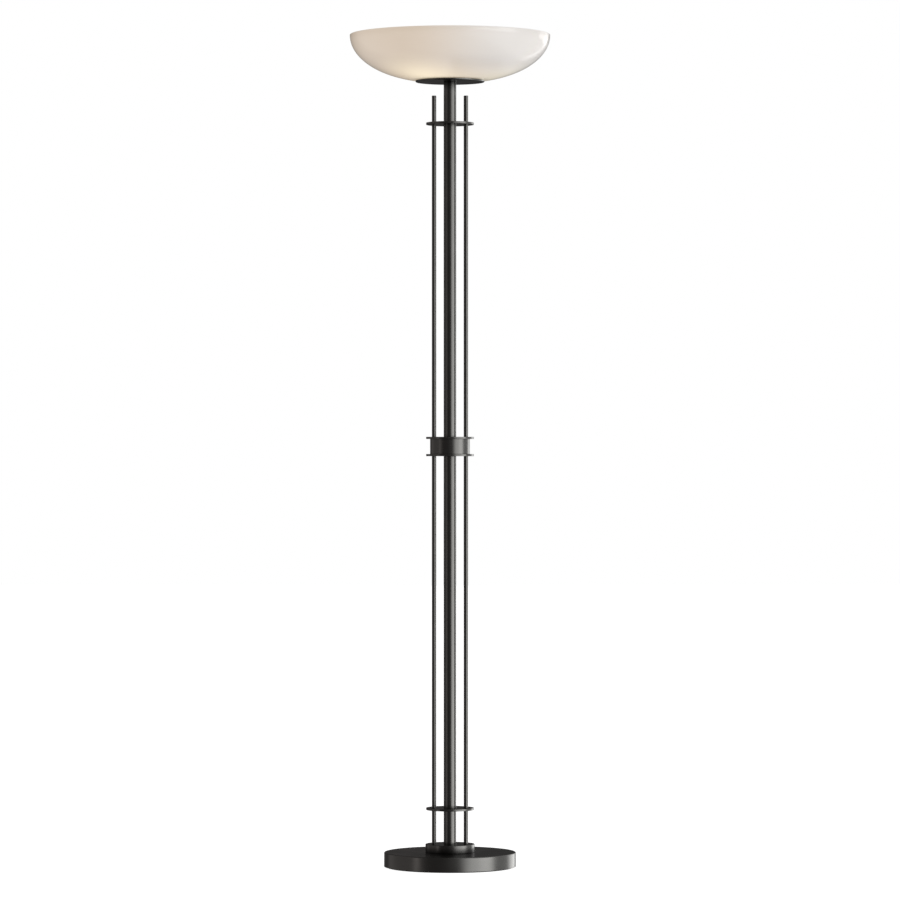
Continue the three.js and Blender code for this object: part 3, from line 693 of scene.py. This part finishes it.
def make_base_cover(outlet, material):
    """A thin turned cover, open underneath, with a hole in its back for the cord."""
    cover = along("base_cover")
    inside = cover.outer - COVER_WALL
    corners = [
        (inside, cover.start, 0.6 * MM),
        (cover.outer, cover.start, 0.3 * MM),
        (cover.outer, cover.end, 2.2 * MM),
        (cover.inner, cover.end, 0.2 * MM),
        (cover.inner, cover.end - COVER_WALL, 0.2 * MM),
        (inside, cover.end - COVER_WALL, 1.2 * MM),
    ]
    shell = revolve("base_cover", rounded(corners, steps=6), segments=192)
    cut(shell, [rod(OUTLET_HOLE, inside - 10 * MM, cover.outer + 10 * MM, outlet)])
    finished(shell, "base_cover", material)


def make_cord_bushing(outlet, material):
    """A bushing with a flange on each side of the cover's wall, the outer one well rounded."""
    bushing = along("cord_bushing", outlet)
    corners = [
        (bushing.inner, bushing.start, 0.6 * MM),
        (FLANGE_RADIUS, bushing.start, 0.6 * MM),
        (FLANGE_RADIUS, bushing.start + FLANGE, 0.2 * MM),
        (BUSHING_RADIUS, bushing.start + FLANGE, 0.1 * MM),
        (BUSHING_RADIUS, bushing.end - FLANGE, 0.1 * MM),
        (bushing.outer, bushing.end - FLANGE, 0.2 * MM),
        (bushing.outer, bushing.end, 1.3 * MM),
        (bushing.inner, bushing.end, 0.9 * MM),
    ]
    finished(revolve("cord_bushing", rounded(corners), outlet, 64), "cord_bushing", material)


def make_underside(node, hole, edge, material):
    """A round sheet under the base, with a hole at each of the bottom plate's screws."""
    span = along(node)
    corners = [
        (0, span.start, 0),
        (span.outer, span.start, edge),
        (span.outer, span.end, edge),
        (0, span.end, 0),
    ]
    sheet = revolve(node, rounded(corners, closed=False), segments=144, closed=False)
    cut(sheet, [rod(hole, span.start - MM, span.end + MM, upright(screw)) for screw in PLATE_SCREWS])
    finished(sheet, node, material)


def make_pan_screw(node, material):
    """A slotted pan-head screw, its head down."""
    place = upright(node)
    span = along(node, place)
    corners = [
        (0, span.start, 0),
        (span.outer, span.start, 1.2 * MM),
        (span.outer, span.start + SCREW_HEAD, 0.15 * MM),
        (SCREW_RADIUS, span.start + SCREW_HEAD, 0),
        (SCREW_RADIUS, span.end - SCREW_POINT, 0),
        (0, span.end, 0),
    ]
    screw = revolve(node, rounded(corners, closed=False), place, 48, closed=False)
    bm = bmesh.new()
    bmesh.ops.create_cube(bm, size=1)
    bm.transform(Matrix.Translation(Vector((0, 0, span.start))) @ Matrix.Diagonal((*SCREW_SLOT, 1)))
    bm.transform(place @ Matrix.Rotation(SCREW_TURN, 4, "Z"))
    finished(cut(screw, [object_from("tool", bm)]), node, material)


def make_base_collar(material):
    """The low ring round the stem's foot, its top edge rounded."""
    collar = along("base_collar")
    corners = tube_corners(collar.inner, collar.outer, collar.start, collar.end, 1.2 * MM, 0.3 * MM)
    corners[1] = (collar.outer, collar.start, 0.5 * MM)
    ring = revolve("base_collar", rounded(corners, steps=5), segments=144)
    finished(ring, "base_collar", material)


# ------------------------------------------------------------------------------------- pole

ROD_WALL = 1.5 * MM
ROD_CROWN = 8 * MM
ROD_TOP_EDGE = 0.9 * MM
DISC_FIT = 0.2 * MM


def make_pole(paint):
    """The stem, the rods beside it, and the discs and sleeve that hold them."""
    drawn, turned = paint["metal_drawn"], paint["metal_turned"]
    turned_ring("lower_stem_tube", drawn, 0.3 * MM)
    turned_ring("upper_stem_tube", paint["stem_top_metal_painted_shade"], 0.3 * MM)
    for node in ("lower_rod_left", "lower_rod_right"):
        turned_ring(node, drawn, 0.3 * MM, segments=48)
    for node in ("upper_rod_left", "upper_rod_right"):
        make_closed_rod(node, drawn)
    make_rod_disc("lower_spacer_ring", turned, ("lower_rod_left", "lower_rod_right"))
    make_rod_disc("upper_spacer_ring", turned, ("upper_rod_left", "upper_rod_right"))
    make_rod_disc("drum_lower_disc", turned, ("rod_stud_left", "rod_stud_right"))
    make_rod_disc("drum_upper_disc", turned, ("rod_stud_left", "rod_stud_right"))
    turned_ring("drum_sleeve", turned, 0.3 * MM, segments=128)


def make_closed_rod(node, material):
    """A tube that is closed at its top, where its edge is rounded."""
    place = upright(node)
    span = along(node, place)
    bore = span.outer - ROD_WALL
    corners = [
        (0, span.end - ROD_CROWN, 0),
        (bore, span.end - ROD_CROWN, 0.2 * MM),
        (bore, span.start, 0.2 * MM),
        (span.outer, span.start, 0.3 * MM),
        (span.outer, span.end, ROD_TOP_EDGE),
        (0, span.end, 0),
    ]
    tube = revolve(node, rounded(corners, closed=False), place, 48, closed=False)
    finished(tube, node, material)


def make_rod_disc(node, material, passing):
    """A thin disc with a bore for the stem and a hole for each rod or stud that passes through it."""
    span = along(node)
    corners = tube_corners(span.inner, span.outer, span.start, span.end, 0.6 * MM, 0.2 * MM)
    disc = revolve(node, rounded(corners), segments=128)
    tools = []
    for through in passing:
        place = upright(through)
        tools.append(rod(along(through, place).outer + DISC_FIT, span.start - MM, span.end + MM, place))
    finished(cut(disc, tools), node, material)


# ------------------------------------------------------------------------------------- head

BOWL_DEPTH = 101 * MM
BOWL_FULLNESS = 0.85
BOWL_WALL = 4.5 * MM
BOWL_FLOOR = 5 * MM
BOWL_LIP_FLATNESS = 0.55

NUT_ACROSS = 17 * MM
NUT_CHAMFER = 0.9 * MM
NIPPLE_PITCH = 0.94 * MM
NIPPLE_THREAD = 0.45 * MM

HUB_WALL = 2.5 * MM
HUB_FLOOR = 6 * MM
HUB_SOCKET_HOLE = 5.3 * MM
LID_DOME = 5 * MM
LID_RIM = 1.5 * MM
SPIGOT_INSET = 3.25 * MM
SPIGOT_WALL = 2.25 * MM


def make_head(paint):
    """Everything above the stem: the plate, the bowl and its clamp, the hub, the sockets and the bulbs."""
    turned = paint["metal_turned"]
    make_shade_plate(turned)
    turned_ring("lower_gasket", paint["rubber"], 0.2 * MM)
    make_bowl(paint["opal"])
    turned_ring("glass_centring_bush", paint["nylon"], 0.3 * MM, segments=64)
    turned_ring("upper_gasket", paint["rubber"], 0.3 * MM)
    turned_ring("clamp_washer", paint["steel"], 0.5 * MM)
    make_clamp_nut(paint["brass"])
    make_head_nipple(paint["steel"])
    make_hub(turned)
    make_hub_lid(turned)
    for number, joint in enumerate(SCREWS, 1):
        place = outward(joint)
        make_socket(f"socket_{number}", place, paint["phenolic"])
        make_socket_shell(f"socket_shell_{number}", place, paint["brass"])
        make_bulb_contact(f"bulb_contact_{number}", place, paint["solder"], paint["insulator"])
        make_bulb_cap(f"bulb_cap_{number}", place, paint["cap"])
        make_bulb_glass(f"bulb_glass_{number}", place, paint["bulb"])


def make_shade_plate(material):
    """The plate under the bowl, its lower edge well rounded."""
    plate = along("shade_plate")
    corners = tube_corners(plate.inner, plate.outer, plate.start, plate.end, 0.6 * MM, 0.3 * MM)
    corners[1] = (plate.outer, plate.start, 2.4 * MM)
    ring = revolve("shade_plate", rounded(corners, steps=6), segments=144)
    finished(ring, "shade_plate", material)


def bowl_curve(radius, depth, rim, cut_height, steps=40):
    """The bowl's outer or inner curve, from the rim down to where it is cut flat."""
    last = math.asin((rim - cut_height) / depth)
    angles = [last * i / steps for i in range(steps + 1)]
    return [Vector((radius * math.cos(a) ** BOWL_FULLNESS, rim - depth * math.sin(a))) for a in angles]


def make_bowl(material):
    """The opal bowl: a thick wall with a rounded lip, and a flat foot with a round hole."""
    span = along("glass_bowl")
    foot, floor = span.start, span.start + BOWL_FLOOR
    lip = BOWL_WALL / 2
    lip_height = lip * BOWL_LIP_FLATNESS
    curve_top = span.end - lip_height
    outside = bowl_curve(span.outer, BOWL_DEPTH, curve_top, foot)[::-1]
    inside = bowl_curve(span.outer - BOWL_WALL, BOWL_DEPTH - BOWL_FLOOR, curve_top, floor)
    middle = span.outer - lip
    turns = [math.pi * i / 10 for i in range(1, 10)]
    rim = [Vector((middle + lip * math.cos(a), curve_top + lip_height * math.sin(a))) for a in turns]
    hole = [Vector((span.inner, floor)), Vector((span.inner, foot))]
    bowl = revolve("glass_bowl", outside + rim + inside + hole, segments=192)
    finished(bowl, "glass_bowl", material)


def hexagon(across_flats):
    """The radius of a hexagon at an angle, or the turned radius where that is less."""
    def shape(angle, radius, _height):
        from_flat = (angle + math.pi / 6) % (math.pi / 3) - math.pi / 6
        return min(across_flats / 2 / math.cos(from_flat), radius)
    return shape


def outer_only(shape, least):
    """A shape that leaves radii below the least as they are."""
    def outer(angle, radius, height):
        return shape(angle, radius, height) if radius > least else radius
    return outer


def thread(pitch, depth, start, end, inward=True):
    """A right-hand rounded thread between two heights, fading out at its ends."""
    def shape(angle, radius, height):
        if not start < height < end:
            return radius
        fade = min(1, (height - start) / pitch, (end - height) / pitch)
        groove = (0.5 - 0.5 * math.cos(TAU * height / pitch - angle)) * depth * fade
        return radius - groove if inward else radius + depth * fade - groove
    return shape


def rows(start, end, step):
    """Even heights from start to end."""
    count = max(1, round((end - start) / step))
    return [start + (end - start) * i / count for i in range(count + 1)]


def wall_points(radius, heights):
    """Points straight up or down a wall."""
    return [Vector((radius, height)) for height in heights]


def make_clamp_nut(material):
    """A hexagon nut, its corners chamfered."""
    nut = along("clamp_nut")
    corner = NUT_ACROSS / math.sqrt(3)
    face = NUT_ACROSS / 2 * 0.97
    corners = [
        (nut.inner, nut.start, 0.4 * MM),
        (face, nut.start, 0),
        (corner, nut.start + NUT_CHAMFER, 0),
        (corner, nut.end - NUT_CHAMFER, 0),
        (face, nut.end, 0),
        (nut.inner, nut.end, 0.4 * MM),
    ]
    shape = outer_only(hexagon(NUT_ACROSS), NUT_ACROSS * 0.45)
    made = revolve("clamp_nut", rounded(corners), segments=96, shape=shape)
    finished(made, "clamp_nut", material)


def make_head_nipple(material):
    """The tube that clamps the head together. Its thread is made from just inside the nut up to its end."""
    nipple = along("head_nipple")
    thread_from = along("clamp_nut").end - 2 * MM
    thread_to = nipple.end - 0.5 * MM
    profile = wall_points(nipple.outer, [nipple.start, *rows(thread_from, thread_to, NIPPLE_PITCH / 6)])
    profile += wall_points(nipple.outer - 0.4 * MM, [nipple.end])
    profile += wall_points(nipple.inner, [nipple.end, nipple.start])
    shape = thread(NIPPLE_PITCH, NIPPLE_THREAD, thread_from, thread_to)
    made = revolve("head_nipple", profile, segments=32, shape=shape)
    finished(made, "head_nipple", material, sharp=60)


def make_hub(material):
    """The cup that the sockets screw into."""
    hub = along("cluster_body")
    inside = hub.outer - HUB_WALL
    corners = [
        (hub.inner, hub.start, 0.2 * MM),
        (hub.outer, hub.start, 2.4 * MM),
        (hub.outer, hub.end, 0.4 * MM),
        (inside, hub.end, 0.3 * MM),
        (inside, hub.start + HUB_FLOOR, 1 * MM),
        (hub.inner, hub.start + HUB_FLOOR, 0.2 * MM),
    ]
    cup = revolve("cluster_body", rounded(corners, steps=5), segments=96)
    tools = [rod(HUB_SOCKET_HOLE, 10 * MM, hub.outer + 5 * MM, outward(joint)) for joint in SCREWS]
    finished(cut(cup, tools), "cluster_body", material)


def make_hub_lid(material):
    """The hub's domed lid, with a spigot that fits inside the cup."""
    lid = along("cluster_cap")
    spigot = lid.outer - SPIGOT_INSET
    bore = spigot - SPIGOT_WALL
    seat = lid.end - LID_DOME
    corners = [
        (0, seat, 0),
        (bore, seat, 0.2 * MM),
        (bore, lid.start, 0.2 * MM),
        (spigot, lid.start, 0.4 * MM),
        (spigot, seat, 0.1 * MM),
        (lid.outer, seat, 0.3 * MM),
        (lid.outer, seat + LID_RIM, 0.8 * MM),
        (lid.outer * 0.72, lid.end - 1.2 * MM, 3 * MM),
        (lid.outer * 0.36, lid.end - 0.2 * MM, 3 * MM),
        (0, lid.end, 0),
    ]
    profile = rounded(corners, closed=False, steps=5)
    finished(revolve("cluster_cap", profile, segments=96, closed=False), "cluster_cap", material)


# ------------------------------------------------------------------------------------- sockets and bulbs

LAMP_PITCH = 25.4 / 7 * MM
LAMP_ROW = LAMP_PITCH / 8
SHELL_THREAD = 0.5 * MM
CAP_THREAD = 0.9 * MM
CAP_CONE = 2.5 * MM
CAP_COLLAR = 4.5 * MM
CAP_CONE_RADIUS = 10 * MM
CLOSE = 0.01 * MM

SOCKET_BORE = 15 * MM
SOCKET_STUB = 5 * MM
SOCKET_STUB_LENGTH = 3.5 * MM
SOCKET_STUB_BORE = 3 * MM
SOCKET_FLOOR = 5.5 * MM
SOCKET_WELL = 4 * MM
SOCKET_WELL_DEPTH = 3 * MM
FLUTES = 24
FLUTE_DEPTH = 0.7 * MM
FLUTE_FADE = 2 * MM
FLUTE_END = 6.5 * MM
FLUTE_ROW = 1.2 * MM

CONTACT_CROWN = 0.85 * MM
GLASS_WALL = 1 * MM
GLASS_NECK = 13.5 * MM
GLASS_NECK_LENGTH = 5 * MM


def fluting(outer, low, high):
    """Rounded flutes in an outer wall between two heights, fading out at their ends."""
    def shape(angle, radius, height):
        if radius < outer - CLOSE or not low <= height <= high:
            return radius
        fade = min(1, (height - low) / FLUTE_FADE, (high - height) / FLUTE_FADE)
        return radius - FLUTE_DEPTH * fade * (0.5 - 0.5 * math.cos(FLUTES * angle)) ** 2
    return shape


def make_socket(node, place, material):
    """A phenolic socket with a fluted body, on the stub that screws into the hub."""
    span = along(node, place)
    back = span.start + SOCKET_STUB_LENGTH
    bored_to = back + 3.5 * MM
    floor = back + SOCKET_FLOOR
    corners = [
        (0, bored_to, 0),
        (SOCKET_STUB_BORE, bored_to, 0.2 * MM),
        (SOCKET_STUB_BORE, span.start, 0.3 * MM),
        (SOCKET_STUB, span.start, 0.3 * MM),
        (SOCKET_STUB, back, 0.2 * MM),
        (span.outer, back, 2.6 * MM),
        (span.outer, back + 6 * MM, 0),
        (span.outer, span.end - 6 * MM, 0),
        (span.outer, span.end, 1.4 * MM),
        (SOCKET_BORE, span.end, 1.2 * MM),
        (SOCKET_BORE, floor, 0.8 * MM),
        (SOCKET_WELL, floor, 0.3 * MM),
        (SOCKET_WELL, floor + SOCKET_WELL_DEPTH, 0.8 * MM),
        (0, floor + SOCKET_WELL_DEPTH, 0),
    ]
    plain = rounded(corners, closed=False)
    low, high = back + FLUTE_END, span.end - FLUTE_END
    profile = []
    for before, after in zip(plain, plain[1:]):
        profile.append(before)
        if before.x > span.outer - CLOSE and after.y - before.y > 10 * MM:
            profile += wall_points(span.outer, rows(low, high, FLUTE_ROW))
    profile.append(plain[-1])
    shape = fluting(span.outer, low, high)
    made = revolve(node, profile, place, 5 * FLUTES, closed=False, shape=shape)
    finished(made, node, material, sharp=50)


def make_socket_shell(node, place, material):
    """The threaded shell that lines a socket."""
    span = along(node, place)
    inner_thread = thread(LAMP_PITCH, SHELL_THREAD, span.start + MM, span.end - MM, inward=False)
    middle = (span.inner + span.outer) / 2

    def shape(angle, radius, height):
        return inner_thread(angle, radius, height) if radius < middle else radius

    profile = wall_points(span.outer, [span.start, span.end])
    profile += wall_points(span.inner, reversed(rows(span.start, span.end, LAMP_ROW)))
    finished(revolve(node, profile, place, 48, shape=shape), node, material, sharp=60)


def make_bulb_contact(node, place, solder, insulator):
    """A bulb's solder button, on its ring of black insulator glass."""
    span = along(node, place)
    corners = [
        (0, span.start, 0),
        (4 * MM, span.start, 1.0 * MM),
        (4.6 * MM, span.start + 0.9 * MM, 0.3 * MM),
        (span.outer, span.end - 0.2 * MM, 0.3 * MM),
        (span.outer, span.end, 0),
        (0, span.end, 0),
    ]
    contact = revolve(node, rounded(corners, closed=False), place, 48, closed=False)
    finished(contact, node, solder)
    contact.data.materials.append(insulator)
    back = place.inverted()
    for face in contact.data.polygons:
        if (back @ face.center).z > span.start + CONTACT_CROWN:
            face.material_index = 1


def make_bulb_cap(node, place, material):
    """A bulb's metal cap: a cone, the screw thread, and a plain collar."""
    span = along(node, place)
    thread_from, thread_to = span.start + CAP_CONE, span.end - CAP_COLLAR
    corners = [
        (0, span.start, 0),
        (CAP_CONE_RADIUS, span.start, 0.4 * MM),
        (span.outer, thread_from, 0.8 * MM),
        (span.outer, span.end, 0),
    ]
    profile = rounded(corners, closed=False)[:-1]
    profile += wall_points(span.outer, rows(thread_from + MM, thread_to, LAMP_ROW))
    profile += wall_points(span.outer, [thread_to + MM, span.end - 0.6 * MM])
    profile += [Vector((span.outer - 0.5 * MM, span.end)), Vector((0, span.end))]
    shape = thread(LAMP_PITCH, CAP_THREAD, thread_from, thread_to)
    finished(revolve(node, profile, place, 56, closed=False, shape=shape), node, material, sharp=60)


def glass_curve(span, gap, steps=18):
    """A bulb's curve from its neck to its tip, at a gap inside its outer surface."""
    neck = GLASS_NECK - gap
    widen, centre = span.start + GLASS_NECK_LENGTH, span.end - span.outer
    points = [Vector((neck, span.start))]
    for i in range(steps):
        t = i / steps
        rise = t * t * (3 - 2 * t)
        points.append(Vector((neck + (span.outer - GLASS_NECK) * rise, widen + (centre - widen) * t)))
    radius = span.outer - gap
    for i in range(steps + 1):
        angle = math.pi / 2 * i / steps
        points.append(Vector((radius * math.cos(angle), centre + radius * math.sin(angle))))
    return points


def make_bulb_glass(node, place, material):
    """A bulb's hollow pear-shaped glass."""
    span = along(node, place)
    profile = glass_curve(span, 0) + glass_curve(span, GLASS_WALL)[::-1]
    finished(revolve(node, profile, place, 72), node, material, sharp=60)


# ------------------------------------------------------------------------------------- hidden pieces

HIDDEN = {
    "iron": ["base_weight"],
    "steel": [
        "base_washer", "base_lock_washer", "base_nipple", "rod_foot_screw_left", "rod_foot_screw_right",
        "lower_stem_insert", "upper_stem_insert", "stem_joiner", "rod_stud_left", "rod_stud_right",
    ],
    "brass": ["base_nut"],
    "sheath": ["inner_lead"],
}


def finish_hidden(paint):
    """Procedural materials for the CAD nodes that stay as they are, inside the lamp."""
    for name, nodes in HIDDEN.items():
        for node in nodes:
            for material_slot in frame["nodes"][node].material_slots:
                material_slot.material = paint[name]


make_camera()
make_world()
make_floor()
bpy.context.scene.view_settings.view_transform = "Standard"

materials = make_materials()
make_base(materials)
make_pole(materials)
make_head(materials)
finish_hidden(materials)
